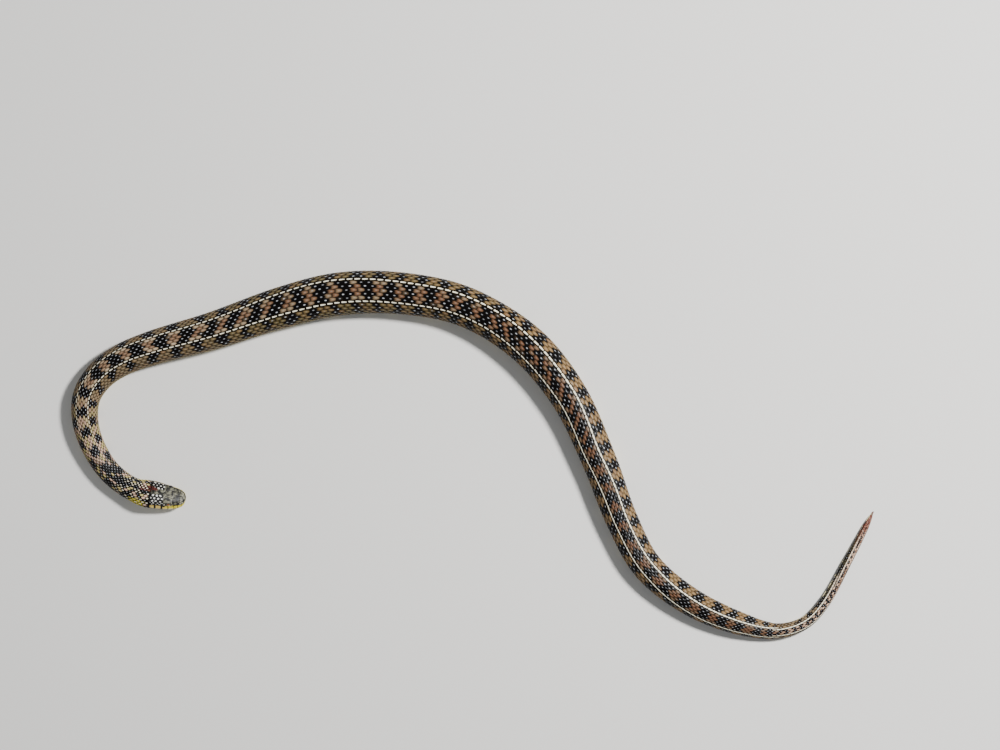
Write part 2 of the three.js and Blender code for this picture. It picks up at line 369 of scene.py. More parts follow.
# Where along the body a colour comes in or fades out.
FRONT_FADES, REAR_COMES = (140, 230), (230, 420)
NECK_FADES, NET_FADES, NAPE_ENDS, THROAT_PATCH = (50, 108), (48, 66), (26, 28.5), (23.5, 30.5)
TAIL_COMES, TAIL_RUST_COMES, TAIL_DARKENS = (606, 634), (636, 660), (638, 652)
TIP_REDDENS, TIP_BLACK_FADES = (684, 704), (694, 706)
LEFT_STRIPE_ENDS, STRIPE_PALES, STRIPE_ENDS = (636, 660), (636, 668), (676, 700)


def body_paint(finish):
    """The body's colour from the marks, and the shares of what it is made of."""
    s, rows_out, bar = finish.parts("mark")
    draw, other, third = finish.parts("draw")
    turn = finish.parts("flat")[1]
    inside, outside = 1 - rows_out.rise(-0.6, -0.4), rows_out.rise(0.4, 0.6)
    neck, front = 1 - s.rise(*NECK_FADES), 1 - s.rise(*FRONT_FADES)
    rear, tail = s.rise(*REAR_COMES), s.rise(*TAIL_COMES)
    # Black bars between the stripes, blotches beside the gaps, and the net.
    to_bar = bar.off_middle() + (draw - 0.5) * 0.13
    to_gap = (bar + 0.5).off_middle() + (draw - 0.5) * 0.1
    bars = inside * (1 - (to_bar - tail * 0.02).rise(0.265, 0.305))
    reach = rows_out + (other - 0.5) * 1.6 - rear
    blotches = outside * (1 - (to_gap - rear * 0.04).rise(0.2, 0.24)) * (1 - reach.rise(4.2, 5))
    black = bars + blotches * (1 - tail)
    black = black.or_else((1 - s.rise(*NET_FADES)) * draw.rise(0.3, 0.36))
    black = black.or_else(tail * outside * draw.rise(0.6, 0.7))
    black = black * (1 - s.rise(*TIP_BLACK_FADES) * 0.6)
    black = black.math("MINIMUM", black, 1)
    # The light scales, with rust on the middle of the back.
    from_middle = rows_out + 3 + (draw - 0.5) * 0.9
    rusty = inside * (1 - from_middle.rise(0.9, 2.1)) * (1 - (0.5 - to_bar).rise(0.13, 0.24))
    flank = finish.mix(OLIVE, FRONT_OLIVE, front)
    light = finish.mix(flank, OCHRE, rear * 0.85 + other.rise(0.62, 0.72) * 0.45)
    between_bars = finish.mix(finish.mix(TAN, FRONT_TAN, front), DARK_RUST, rear * 0.85)
    light = finish.mix(light, between_bars, inside)
    odd_rust = (1 - inside) * third.rise(0.88, 0.92) * 0.3
    light = finish.mix(light, RUST, rusty * 0.75 + odd_rust)
    light = finish.mix(light, STRAW, (rows_out + draw).rise(5.5, 7.5) * 0.5)
    light = finish.mix(light, finish.mix(STRAW, SALMON, other.rise(0.45, 0.55)), neck * 0.92)
    rust_share = other.rise(0.6, 0.66) * (0.3 + 0.4 * s.rise(*TAIL_RUST_COMES))
    # Towards the tip the tail's flanks turn dark olive, partly painted shade.
    shaded_tail_flank = finish.mix(TAN, TAIL_SHADE_OLIVE, s.rise(*TAIL_DARKENS))
    tail_light = finish.mix(finish.mix(PINK, RUST, rust_share), shaded_tail_flank, outside)
    light = finish.mix(light, tail_light, tail)
    light = finish.mix(light, TIP_RED, s.rise(*TIP_REDDENS) * 0.7)
    colour = finish.mix(light, BLACK, black)
    nape = (1 - s.rise(*NAPE_ENDS)) * turn.within(-24, 2, 3)
    colour = finish.mix(colour, NAPE_RED, nape)
    throat = s.within(*THROAT_PATCH, 1.0) * rows_out.rise(2.4, 3.2)
    colour = finish.mix(colour, YELLOW, throat)
    left = 1 - turn.rise(-1, 1)
    stripe = (1 - inside) * (1 - outside) * (1 - neck) * (1 - s.rise(*LEFT_STRIPE_ENDS) * left)
    stripe = stripe * (1 - s.rise(*STRIPE_PALES) * 0.4) * (1 - s.rise(*STRIPE_ENDS))
    return colour, SimpleNamespace(stripe=stripe, neck=neck, front=front, rear=rear,
                                   black=black, left=left)


# The skin's surface. A seam between two shields of the head is a list of (distance, corner of
# the section): 0 is the mid-line of the crown, 2 the brow, 6 the line of the mouth and 11 the
# middle of the chin. Every seam is on both sides.
COAT = [
    (0, 0.02), (18.8, 0.02), (20.6, 0.26), (36, 0.3), (120, 0.4), (250, 0.5), (500, 0.44),
    (590, 0.36), (625, 0.24), (690, 0.12), (708, 0.05),
]
VENT, TIP_PAST = 600, 0.3  # where the tail begins; the tip, in steps past the last ring
HEAD_COLUMNS, BODY_COLUMNS, HEAD_END, SHIELDS_END = 224, 112, 36, 24
SNOUT_RINGS, HEAD_RINGS_FROM, BODY_RINGS_END = (0, 0.12), 0.3, LENGTH - 0.4
HEAD_STEP, BODY_STEP, TAIL_STEP = 0.24, 2.8, 1.35
# Depth, half-width and how square the sides are.
GROOVE, FOLD, MOUTH_GROOVE = (0.14, 0.17, 2), (0.13, 0.32, 2), (0.45, 0.2, 4)
EYE_GROOVE, EYE_SWELL, SWELL_OUT = (0.25, 0.2, 2), (0.12, 0.3, 2), 0.5
MOUTH_CORNER, SNOUT_CORNER, SNOUT_SEAM, NO_SEAM = 21.2, 5, 0.3, 9.0
EYE_S, EYE_Y, EYE_Z, EYE_RADIUS = 9.7, 4.85, 6.8, 1.65
NOSTRIL_S, NOSTRIL_Y, NOSTRIL_Z = 1.75, 3.3, 6.2
SOCKET_DEPTH, SOCKET_EDGE, NOSTRIL_DEPTH, NOSTRIL_EDGE = 1.1, (1.0, 1.62), 0.7, (0.2, 0.55)
CROWN_SEAMS = [
    [(1.5, 0), (1.3, 1), (0.9, 2.2), (0.6, 4)],
    [(3.4, 0), (3.5, 1), (3.4, 2.2)],
    [(1.2, 1.6), (2.2, 1.9), (3.4, 2.2)],
    [(1.5, 0), (6.6, 0)],
    [(6.6, 0), (6.8, 0.6), (7.1, 1), (7.3, 1.5), (7.3, 2.2)],
    [(7.1, 1), (9.5, 0.78), (11.7, 0.64), (12.8, 0)],
    [(11.7, 0.64), (12.3, 1.3), (12.4, 2.2)],
    [(12.8, 0), (19.6, 0)],
    [(12.4, 2), (14.5, 1.9), (17, 1.55), (19.2, 0.95), (19.7, 0.4), (19.6, 0)],
]
CHEEK_SEAMS = [
    [(3.4, 2.2), (4.2, 2.9), (6, 3), (7.3, 2.2)],
    [(1.2, 1.6), (0.9, 3), (1.1, 3.7)],
    [(0.6, 3.7), (1.5, 3.6), (3.5, 3.5), (5.9, 3.5), (7.5, 3.95)],
    [(3.4, 2.2), (3.6, 3.1), (3.5, 3.5)],
    [(2.1, 1.9), (1.9, 3.6)],
    [(6, 3), (6, 3.5)],
    [(6, 3.25), (7.4, 3.25)],
    [(11.8, 4.05), (13, 3.45), (17, 3.3), (20.4, 3.6), (21.4, 5.9)],
    [(12.3, 2.2), (13.2, 2.5), (13.5, 3), (13.5, 3.4)],
    [(11.8, 3), (13.5, 3)],
    [(13.5, 2.9), (16.8, 2.7), (19.8, 2.5)],
    [(16.6, 1.6), (17, 2.7), (16.6, 3.3)],
    [(19.4, 0.9), (19.9, 2.5), (20.4, 3.6)],
]
CHIN_SEAMS = [
    [(1, 7.7), (5, 7.6), (12, 7.5), (18, 7.2), (21.2, 6.6)],
    [(1.3, 8.2), (1.8, 9.5), (2.1, 11)],
    [(2.1, 11), (12.5, 11)],
    [(1.6, 9.2), (5, 9), (9.5, 9.3), (12.5, 11)],
    [(6.6, 11), (6.2, 9)],
]
# A seam that comes again and again, and the distances at which it does.
LIP_SEAM, LIP_SEAMS_AT = [(0, 6), (-0.25, 4.9), (-0.1, 3.5)], (2.4, 4.4, 6.6, 9.8, 13.4, 17.2)
JAW_SEAM, JAW_SEAMS_AT = [(0, 6), (0.2, 7), (0.1, 7.6)], (1.6, 3.1, 4.9, 7, 9.2, 11.9, 14.9, 18)
THROAT_FOLD, FOLDS_AT = [(3.4, 8.4), (0, 11), (-3.4, 8.4)], (13.8, 15.6, 17.4, 19.2)
SEAM_STEPS = (0.08, 0.05)  # in distance and corners, between the points of a seam


def repeated(seam, places):
    """The seam at each of the places."""
    return [[(at + step, corner) for step, corner in seam] for at in places]


def from_seams(seams, points):
    """How far each point is from the nearest of the seams, in millimetres."""
    found = []
    for seam in seams:
        for (s0, k0), (s1, k1) in zip(seam, seam[1:]):
            steps = max(abs(s1 - s0) / SEAM_STEPS[0], abs(k1 - k0) / SEAM_STEPS[1])
            n = max(int(steps), 2)
            s, corner = np.linspace(s0, s1, n), np.linspace(k0, k1, n)
            i = np.clip(s / TABLE_STEP, 0, len(CORNER_TURNS) - 1.001)
            j = np.minimum(corner, HEAD_CORNERS - 0.001)
            turn = looked_up(CORNER_TURNS[:, :, None], i, j)[:, 0]
            found += [wrapped(s, turn, 0), wrapped(s, -turn, 0)]
    found = np.vstack(found) * 1000
    tree = KDTree(len(found))
    for i, at in enumerate(found):
        tree.insert(at, i)
    tree.balance()
    return np.array([tree.find(point)[2] for point in points])


def groove(distance, depth, half_width, square):
    """The depth of a groove at a distance from its middle."""
    return depth * np.exp(-((distance / half_width) ** square))


def put(mesh, name, vectors):
    """A vector for every point of a mesh, for its material to read."""
    data = mesh.attributes.new(name, "FLOAT_VECTOR", "POINT").data
    data.foreach_set("vector", np.asarray(vectors, np.float32).ravel())


def rounded(mesh):
    """The mesh, shaded as one round surface."""
    mesh.polygons.foreach_set("use_smooth", np.ones(len(mesh.polygons), bool))
    return mesh


def ring_grid():
    """Rings of the skin as (distance, number of columns), fine on the head."""
    head = [*SNOUT_RINGS, *np.arange(HEAD_RINGS_FROM, HEAD_END, HEAD_STEP)]
    body = [*np.arange(HEAD_END, VENT, BODY_STEP), *np.arange(VENT, BODY_RINGS_END, TAIL_STEP)]
    return [(s, HEAD_COLUMNS) for s in head] + [(s, BODY_COLUMNS) for s in body]


def skin_mesh(name):
    rings = ring_grid()
    s = np.concatenate([np.full(n, at) for at, n in rings])
    turn = np.concatenate([np.arange(n) * 360 / n - 180 for at, n in rings])
    faces, start = [], 0
    for (_, n), (_, m) in zip(rings, rings[1:]):
        behind = start + n
        for j in range(m):
            d, e = behind + j, behind + (j + 1) % m
            if n == m:
                faces.append((start + j, start + (j + 1) % n, e, d))
            else:
                a, b, c = (start + (2 * j + i) % n for i in range(3))
                faces += [(a, b, d), (b, e, d), (b, c, e)]
        start = behind
    snout, tip = len(s), len(s) + 1
    faces += [(snout, (j + 1) % HEAD_COLUMNS, j) for j in range(HEAD_COLUMNS)]
    faces += [(tip, start + j, start + (j + 1) % BODY_COLUMNS) for j in range(BODY_COLUMNS)]

    # The skin's height over the body's surface, at the seams, mouth, throat, eyes and nostrils.
    base = wrapped(s, turn, 0) * 1000
    height, seam, corner = -along(COAT, s), np.full(len(s), NO_SEAM), np.zeros(len(s))
    head = np.flatnonzero(s < SHIELDS_END)
    shield_seams = (CROWN_SEAMS + CHEEK_SEAMS + CHIN_SEAMS + repeated(LIP_SEAM, LIP_SEAMS_AT)
                    + repeated(JAW_SEAM, JAW_SEAMS_AT))
    to_seam, to_fold, to_mouth = (from_seams(seams, base[head]) for seams in (
        shield_seams, repeated(THROAT_FOLD, FOLDS_AT), [[(0, 6), (MOUTH_CORNER, 6)]]))
    height[head] -= (groove(to_seam, *GROOVE) + groove(to_fold, *FOLD)
                         + groove(to_mouth, *MOUTH_GROOVE))
    seam[head] = np.minimum(to_seam, to_mouth * 0.8)
    table = CORNER_TURNS[(s[head] / TABLE_STEP).astype(int)]
    corner[head] = [np.interp(abs(at), turns, np.arange(HEAD_CORNERS + 1))
                        for at, turns in zip(turn[head], table)]
    for side in (1, -1):
        eye, nostril = (place(*np.array([[at], [side * y], [z]], float))[0] for at, y, z in (
            (EYE_S, EYE_Y, EYE_Z), (NOSTRIL_S, NOSTRIL_Y, NOSTRIL_Z)))
        to_eye, to_nostril = (np.linalg.norm(base - v, axis=1) for v in (eye, nostril))
        height -= SOCKET_DEPTH * (1 - smooth(*SOCKET_EDGE, to_eye))
        height -= groove(to_eye - EYE_RADIUS, *EYE_GROOVE)
        height += groove(to_eye - EYE_RADIUS - SWELL_OUT, *EYE_SWELL)
        height -= NOSTRIL_DEPTH * (1 - smooth(*NOSTRIL_EDGE, to_nostril))

    points = wrapped(s, turn, height)
    last, before = points[start:].mean(0), points[start - BODY_COLUMNS:start].mean(0)
    points = np.vstack([points, points[:HEAD_COLUMNS].mean(0), last + (last - before) * TIP_PAST])
    s, turn = np.append(s, [0, LENGTH]), np.append(turn, [0, 0])
    seam, corner = np.append(seam, [SNOUT_SEAM, NO_SEAM]), np.append(corner, [SNOUT_CORNER, 0])
    mesh = bpy.data.meshes.new(name)
    mesh.from_pydata(points.tolist(), [], faces)
    leaning = (turn - along(LEAN, s) + 180) % 360 - 180
    put(mesh, "mark", marks(s, leaning))
    put(mesh, "shield", np.stack([corner, seam, np.abs(leaning)], -1))
    draws = np.full((len(s), 3), 0.5)
    draws[:, 2] = np.random.default_rng(5).random(len(s))
    put(mesh, "draw", draws)
    put(mesh, "flat", np.stack([s, turn, 0 * s], -1))
    unwrap(mesh, s, turn)
    return rounded(mesh)


# The skin's map has the head on its left and the body, cut into lengths, on its right.
HEAD_SHARE, STRIPS, MAP_GAP, STRIP_GAP = 0.5, 8, 0.01, 0.05


def unwrap(mesh, s, turn):
    """The skin's map, on which each face is whole, in the length that its middle is in."""
    uv = mesh.uv_layers.new(name="OFBake")
    places = np.zeros((len(mesh.loops), 2))
    long, wide = (LENGTH - HEAD_END) / STRIPS, (1 - HEAD_SHARE) / STRIPS
    for face in mesh.polygons:
        corners = np.array(face.vertices)
        at, turned = s[corners], turn[corners].copy()
        if np.ptp(turned) > 180:
            turned[turned < 0] += 360
        turned = (turned + 180) / 360
        if at.mean() < HEAD_END:
            x, y = MAP_GAP + turned * (HEAD_SHARE - 2 * MAP_GAP), at / HEAD_END
        else:
            strip = np.floor((at.mean() - HEAD_END) / long)
            x = HEAD_SHARE + (strip + STRIP_GAP + (1 - 2 * STRIP_GAP) * turned) * wide
            y = (at - HEAD_END) / long - strip
        first = face.loop_start
        places[first:first + len(corners)] = np.stack([x, MAP_GAP + y * (1 - 2 * MAP_GAP)], -1)
    uv.data.foreach_set("uv", places.ravel())


CROWN_DARK, CROWN_PALE, SCRIBBLE = paint(22, 22, 20), paint(102, 100, 84), paint(192, 188, 170)
TEMPLE_SPOT = paint(224, 222, 214)
LIP_YELLOW, LIP_OCHRE, JAW_PALE = paint(196, 178, 48), paint(192, 164, 84), paint(226, 218, 186)
BELLY_COMES = (108, 118)  # degrees from the mid-back
HEAD_GIVES_WAY, NAPE_COMES, UNDER_EYE = (19.6, 20.4), (16.2, 17.4), (7.6, 11.8)
SPOT_STEP, SPOT_ROWS, SPOT_ROW_FROM = 2.2, 1.6, 0.3  # their rows are counted to a corner
MOTTLE, COARSE, SHEEN = 900.0, 420.0, 1500.0  # spots to a metre


def skin_finish():
    finish = Finish("snake_skin")
    colour, share = body_paint(finish)
    s = finish.parts("mark")[0]
    corner, seam, from_back = finish.parts("shield")
    mottle, coarse = finish.speckle(MOTTLE, 3.0), finish.speckle(COARSE, 3.0)
    # Between the scales the skin is darker than they are, but pale on the belly.
    colour = finish.mix(colour, CREAM, share.stripe * 0.3 * share.rear)
    between = finish.mix(colour, BLACK, 0.75)
    between = finish.mix(between, BELLY_PALE, from_back.rise(*BELLY_COMES) * 0.8)
    # The crown is mottled, with pale scribbles beside the seams and a dark red nape.
    crown = finish.mix(CROWN_DARK, CROWN_PALE, coarse.rise(0.42, 0.64))
    wavy = seam + (mottle - 0.5) * 0.6
    scribble = wavy.within(0.42, 0.52, 0.06) * coarse.rise(0.42, 0.56)
    crown = finish.mix(crown, SCRIBBLE, scribble * 0.65)
    turn = finish.parts("flat")[1]
    nape = (turn + (mottle - 0.5) * 10).within(-21, -3, 1.5) * s.rise(*NAPE_COMES)
    crown = finish.mix(crown, finish.mix(BLACK, NAPE_RED, mottle.rise(0.4, 0.52)), nape)
    # The temples are black with pale spots in staggered rows.
    row = (corner + (mottle - 0.5) * 0.25) * SPOT_ROWS + SPOT_ROW_FROM
    step = (s + (coarse - 0.5) * 3) * (1 / SPOT_STEP) + row.one("FLOOR") * 0.5
    ahead, beside = step.off_middle(), (row - 0.5).off_middle()
    spot = ahead * ahead * 5 + beside * beside * 3.4 + (coarse - 0.5) * 0.6
    spot = (1 - (spot + (mottle - 0.5) * 0.5).rise(0.1, 0.4)) * 0.95
    temple = corner.rise(0.5, 0.62) * (s + (coarse - 0.5) * 3).rise(12.4, 13.2)
    temple = temple.or_else(corner.rise(2.3, 2.6) * (s + (coarse - 0.5) * 2).rise(11, 12))
    crown = finish.mix(crown, finish.mix(BLACK, TEMPLE_SPOT, spot), temple * (1 - nape))
    # The lips are a yellow band, narrower under the eye, over a pale jaw.
    lips = finish.mix(LIP_YELLOW, LIP_OCHRE, s.rise(9, 13))
    lips = finish.mix(lips, CREAM, corner.rise(5.2, 5.4) * s.rise(6, 8))
    jaw = finish.mix(JAW_PALE, BELLY_PALE, corner.rise(8, 10))
    under_eye = s.within(*UNDER_EYE, 0.4) * 0.35
    side = finish.mix(crown, lips, (corner - under_eye + (mottle - 0.5) * 0.2).rise(3.4, 3.55))
    side = finish.mix(side, jaw, corner.rise(6, 6.15))
    # The seams are black, and broad between the shields of the lips.
    suture = 0.26 + s.rise(8, 13) * 0.4 - corner.rise(5.2, 5.7) * 0.3 * s.rise(8, 13)
    broad = (1 - (seam - suture).rise(-0.2, 0.06)) * (1 - corner.rise(7.6, 8.2) * 0.8)
    broad = broad * corner.rise(3.35, 3.5)
    dark = broad.or_else(1 - seam.rise(0.04, 0.2)) * (1 - corner.rise(7.6, 8.2) * 0.7)
    head = finish.mix(side, BLACK, dark)
    colour = finish.mix(head, between, s.rise(*HEAD_GIVES_WAY))
    rough = 0.44 + 0.2 * (finish.speckle(SHEEN) - 0.5)
    return finish.finish(colour, rough, mottle, 0.00008, **{"Specular IOR Level": 0.2})


def added(name, data):
    """A new object in the scene."""
    made = bpy.data.objects.new(name, data)
    bpy.context.scene.collection.objects.link(made)
    return made


def piece(name, mesh, material, slot, *nodes):
    """A finished piece on the one body, in place of the solids that it stands for."""
    made = added(name, mesh)
    if material is not None:
        mesh.materials.clear()
        mesh.materials.append(material)
    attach(made, "root")
    if nodes:
        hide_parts(*nodes)


flesh = [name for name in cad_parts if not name.startswith("eye")]
piece("snake_skin", skin_mesh("snake_skin"), skin_finish(), "skin", *flesh)

# The back and the flanks are covered with keeled scales, long and narrow, that overlap towards
# the tail like roof tiles. Each one is solid horn over the skin: its root is sunk and its tip
# stands free. They are laid out flat in rows by Geometry Nodes, then wrapped round the body.
RING_PITCH = [
    (19, 2.3), (36, 2.5), (60, 2.8), (120, 3.4), (200, 4.0), (255, 4.3), (350, 4.15),
    (480, 3.75), (560, 3.4), (600, 2.9), (640, 2.15), (680, 1.7), (708, 1.3),
]
FIRST_RING, LAST_RING, LAST_SCALE = 19.6, LENGTH - 1.6, LENGTH - 1.5
ROWS, EDGE_SPARED = 21, 0.4  # the most rows, and how near to the flank's edge they stop
SCALE_LENGTH, SCALE_WIDTH = 1.42, 1.3  # of the steps between them
SCALE_ACROSS = (-1, -0.62, -0.16, 0, 0.16, 0.62, 1)
SCALE_SHAPE = [(0, 0.5), (0.2, 0.86), (0.45, 1), (0.7, 0.84), (0.88, 0.52), (1, 0.16)]
SCALE_RISE, SCALE_THICK, SCALE_KEEL, SCALE_CROWN = 0.72, 0.2, 0.3, 0.16
SCALE_SUNK, ROOT_SUNK, UNDER_EDGE = 0.12, 0.6, 0.97
TIP_NOTCH, ROOT_BOW = 0.035, 0.05
COLOUR_AT = 0.45  # of a scale's length, where it takes its colour
SCALE_SPREAD = 0.04  # how far a scale may be turned, in radians
PATCH, LAID_STRIPS = 0.0015, 3  # a scale's half patch on its map, which is cut into lengths
LAID_ACROSS, LAID_ALONG = (0.03, 0.94), (0.02, 0.95)  # where on a length they start and reach


def sheet(n, m):
    """The faces between n rows of m points."""
    return [(i * m + j, (i + 1) * m + j, (i + 1) * m + j + 1, i * m + j + 1)
            for i in range(n - 1) for j in range(m - 1)]


def template_mesh(name, points, grain, faces):
    mesh = bpy.data.meshes.new(name)
    mesh.from_pydata(points, [], faces)
    put(mesh, "grain", grain)
    return rounded(mesh)


def scale_mesh(name):
    """One scale, a unit long, wide and deep, root at the origin and tip along X."""
    points, grain = [], []
    for far, width in SCALE_SHAPE:
        for a in SCALE_ACROSS:
            inner = 1 - abs(a)
            x = far - TIP_NOTCH * inner * (far == 1) - ROOT_BOW * inner * (far == 0)
            crown = SCALE_CROWN * (1 - a * a) * (0.4 + 0.6 * far)
            keel = SCALE_KEEL * (0.3 + 0.7 * math.sin(math.pi * min(far + 0.12, 0.9))) * (a == 0)
            sunk = SCALE_SUNK if far else ROOT_SUNK
            points.append((x, a * width / 2, SCALE_RISE * far**0.9 + crown + keel - sunk))
            grain.append((a, far, 0))
    n, m = len(SCALE_SHAPE), len(SCALE_ACROSS)
    rim = list(range(m)) + [i * m + m - 1 for i in range(1, n)]
    rim += [(n - 1) * m + j for j in range(m - 2, -1, -1)] + [i * m for i in range(n - 2, 0, -1)]
    low = {v: len(points) + k for k, v in enumerate(rim)}
    for v in rim:
        x, y, z = points[v]
        points.append((x, y * UNDER_EDGE, z - SCALE_THICK * (0.5 + 0.5 * x)))
        grain.append((*grain[v][:2], -1))
    around = [(v, low[v], low[w], w) for v, w in zip(rim, rim[1:] + rim[:1])]
    faces = [tuple(low[v] for v in rim)] + around + sheet(n, m)
    return template_mesh(name, points, grain, faces)


def laying_tree(name):
    """A Geometry Nodes tree that sets a template on every point, turned a little and sized."""
    tree = bpy.data.node_groups.new(name, "GeometryNodeTree")
    for label, kind in (("Geometry", "Geometry"), ("Template", "Object"), ("Finish", "Material"),
                        ("Turn Spread", "Float"), ("Patch", "Float"), ("Seed", "Int")):
        tree.interface.new_socket(label, in_out="INPUT", socket_type="NodeSocket" + kind)
    tree.interface.new_socket("Geometry", in_out="OUTPUT", socket_type="NodeSocketGeometry")

    def node(kind, settings=None, values=None):
        return add_node(tree, kind, settings, values).outputs

    def vector(label):
        kind = {"data_type": "FLOAT_VECTOR"}
        return node("GeometryNodeInputNamedAttribute", kind, {"Name": label})[0]

    given = node("NodeGroupInput")
    spread = given["Turn Spread"]
    sample = node("GeometryNodeObjectInfo", {}, {"Object": given["Template"]})["Geometry"]
    low = node("ShaderNodeMath", {"operation": "MULTIPLY"}, {0: spread, 1: -1.0})[0]
    turn = node("FunctionNodeRandomValue", {"data_type": "FLOAT"},
                {2: low, 3: spread, "Seed": given["Seed"]})[1]
    turned = node("ShaderNodeCombineXYZ", {}, {2: turn})[0]
    placed = node("GeometryNodeInstanceOnPoints", {}, {
        "Points": given["Geometry"], "Instance": sample, "Rotation": turned,
        "Scale": vector("size")})[0]
    real = node("GeometryNodeRealizeInstances", {}, {"Geometry": placed})[0]
    patch = node("ShaderNodeVectorMath", {"operation": "SCALE"},
                 {0: vector("grain"), "Scale": given["Patch"]})[0]
    spot = node("ShaderNodeVectorMath", {"operation": "ADD"}, {0: vector("root"), 1: patch})[0]
    mapped = node("GeometryNodeStoreNamedAttribute", {"data_type": "FLOAT2", "domain": "CORNER"},
                  {"Geometry": real, "Name": "OFBake", "Value": spot})[0]
    coloured = node("GeometryNodeSetMaterial", {},
                    {"Geometry": mapped, "Material": given["Finish"]})[0]
    node("NodeGroupOutput", {}, {"Geometry": coloured})
    return tree


LAYING = laying_tree("lay_scales")


def laid(name, template, material, s, turn, size, seed, spread=SCALE_SPREAD):
    """The template laid at points of the flat layout and wrapped round the body, as a mesh."""
    start, stop = s.min() - 1, s.max() + 1
    strip = (s - start) / (stop - start) * LAID_STRIPS
    x = (np.floor(strip) + LAID_ACROSS[0] + LAID_ACROSS[1] * (turn + 180) / 360) / LAID_STRIPS
    y = LAID_ALONG[0] + LAID_ALONG[1] * (strip % 1)
    flat = np.stack([s, turn, 0 * s], -1)
    points = bpy.data.meshes.new(name + "_roots")
    points.from_pydata(flat.tolist(), [], [])
    put(points, "size", size)
    put(points, "root", np.stack([x, y, 0 * s], -1))
    put(points, "mark", marks(np.minimum(s + size[:, 0] * COLOUR_AT, LENGTH), turn))
    put(points, "draw", np.random.default_rng(seed).random((len(s), 3)))
    put(points, "flat", flat)
    layout, sample = added(name + "_layout", points), added(name + "_one", template)
    modifier = layout.modifiers.new("laying", "NODES")
    modifier.node_group = LAYING
    values = {"Template": sample, "Finish": material, "Turn Spread": spread, "Patch": PATCH,
              "Seed": seed}
    for item in LAYING.interface.items_tree:
        if item.in_out == "INPUT" and item.name in values:
            modifier[item.identifier] = values[item.name]
    bpy.context.view_layer.update()
    depsgraph = bpy.context.evaluated_depsgraph_get()
    mesh = bpy.data.meshes.new_from_object(layout.evaluated_get(depsgraph))
    layout.modifiers.remove(modifier)
    for made in (layout, sample):
        bpy.data.objects.remove(made)
    mesh.name = name
    places = np.empty(len(mesh.vertices) * 3, np.float32)
    mesh.vertices.foreach_get("co", places)
    x, y, z = places.reshape(-1, 3).T.astype(float)
    x = np.clip(x, 0, LENGTH - 0.2)
    bent = wrapped(x, y + along(LEAN, x), z - along(COAT, x))
    mesh.vertices.foreach_set("co", bent.astype(np.float32).ravel())
    mesh.update()
    return mesh


def row_turn(s, row):
    """The turn of a row of scales from the leaning mid-back."""
    p, q = row_spread(s)
    return np.sign(row) * (p * np.abs(row) + q * row**2)


def scale_rings():
    """The distances at which a ring of scales begins."""
    s, rings = FIRST_RING, []
    while s < LAST_RING:
        rings.append(s)
        s += along(RING_PITCH, s)
    return rings


PAINTED_GLINT, BEAD = paint(200, 202, 206), paint(226, 216, 190)
STRIPE_JOINS, JOINED, BEADS_END = (330, 500), 0.2, (34, 44)


def scale_finish():
    finish = Finish("snake_scales")
    colour, share = body_paint(finish)
    stripe, neck, rear, black = share.stripe, share.neck, share.rear, share.black
    s, rows_out, _ = finish.parts("mark")
    _, other, third = finish.parts("draw")
    across, far, _ = finish.parts("grain")
    off = across.one("ABSOLUTE")
    # The edges of a scale are dark, more so on the neck and less so on the rear flank.
    edge = off.rise(0.42, 0.88).or_else(far.rise(0.78, 1.0)).or_else(1 - far.rise(0.25, 0.52))
    outside = rows_out.rise(0.4, 0.6)
    edge = edge * (0.84 - 0.24 * rear * outside - 0.12 * share.front + 0.2 * neck)
    colour = finish.mix(colour, BLACK, edge)
    # The stripe is a pale dash on each of its scales, and they join up towards the tail.
    # On the left at the rear the dashes are narrower, painted shade for that side.
    width = off + 0.2 - 0.09 * rear + share.left * rear * 0.07
    joined = s.rise(*STRIPE_JOINS) * JOINED
    dash = (1 - width.rise(0.42, 0.54)) * (far + joined).rise(0.36, 0.42)
    dash = dash * (1 - (far - joined).rise(0.84, 0.92))
    colour = finish.mix(colour, BLACK, stripe * (1 - dash) * 0.85)
    colour = finish.mix(colour, CREAM, stripe * dash)
    # A painted highlight, a pale glint on the keel, is plainest on black scales, and a bead lies
    # on some of the neck's.
    glint_spot = (1 - off.rise(0.12, 0.34)) * far.within(0.54, 0.72, 0.05)
    glint_share = (0.1 + black * (0.2 + 0.4 * third.rise(0.2, 0.8))) * (1 - 0.15 * rear) * (1 - stripe)
    colour = finish.mix(colour, PAINTED_GLINT, glint_spot * glint_share)
    bead = (1 - off.rise(0.3, 0.55)) * far.within(0.5, 0.82, 0.06)
    bead = bead * (1 - s.rise(*BEADS_END)) * other.rise(0.42, 0.47)
    colour = finish.mix(colour, BEAD, bead * black * 0.9)
    fine = finish.speckle(2500.0)
    rough = 0.24 + 0.12 * (fine - 0.5)
    return finish.finish(colour, rough, fine, 0.00004, **{"Specular IOR Level": 0.05})


SCALE_ONE, SCALE_PAINT = scale_mesh("scale"), scale_finish()
spots = []
for ring in scale_rings():
    for row in range(-(ROWS // 2), ROWS // 2 + 1):
        at = ring + along(RING_PITCH, ring) * (0.5 if row % 2 else 0)
        if abs(row) <= along(EDGE_ROW, at) - EDGE_SPARED and at < LAST_SCALE:
            spots.append((at, row))
spots = np.array(spots)
for name, start, stop in (("scales_front", 0, 185), ("scales_middle", 185, 320),
                          ("scales_rear", 320, 460), ("scales_tail", 460, 720)):
    at, row = spots[(spots[:, 0] >= start) & (spots[:, 0] < stop)].T
    p, q = row_spread(at)
    length = along(RING_PITCH, at) * SCALE_LENGTH
    width = (p + 2 * q * np.abs(row)) * SCALE_WIDTH
    size = np.stack([length, width, along(COAT, at + length)], -1)
    mesh = laid(name, SCALE_ONE, SCALE_PAINT, at, row_turn(at, row), size, seed=start + 1)
    piece(name, mesh, None, "skin")

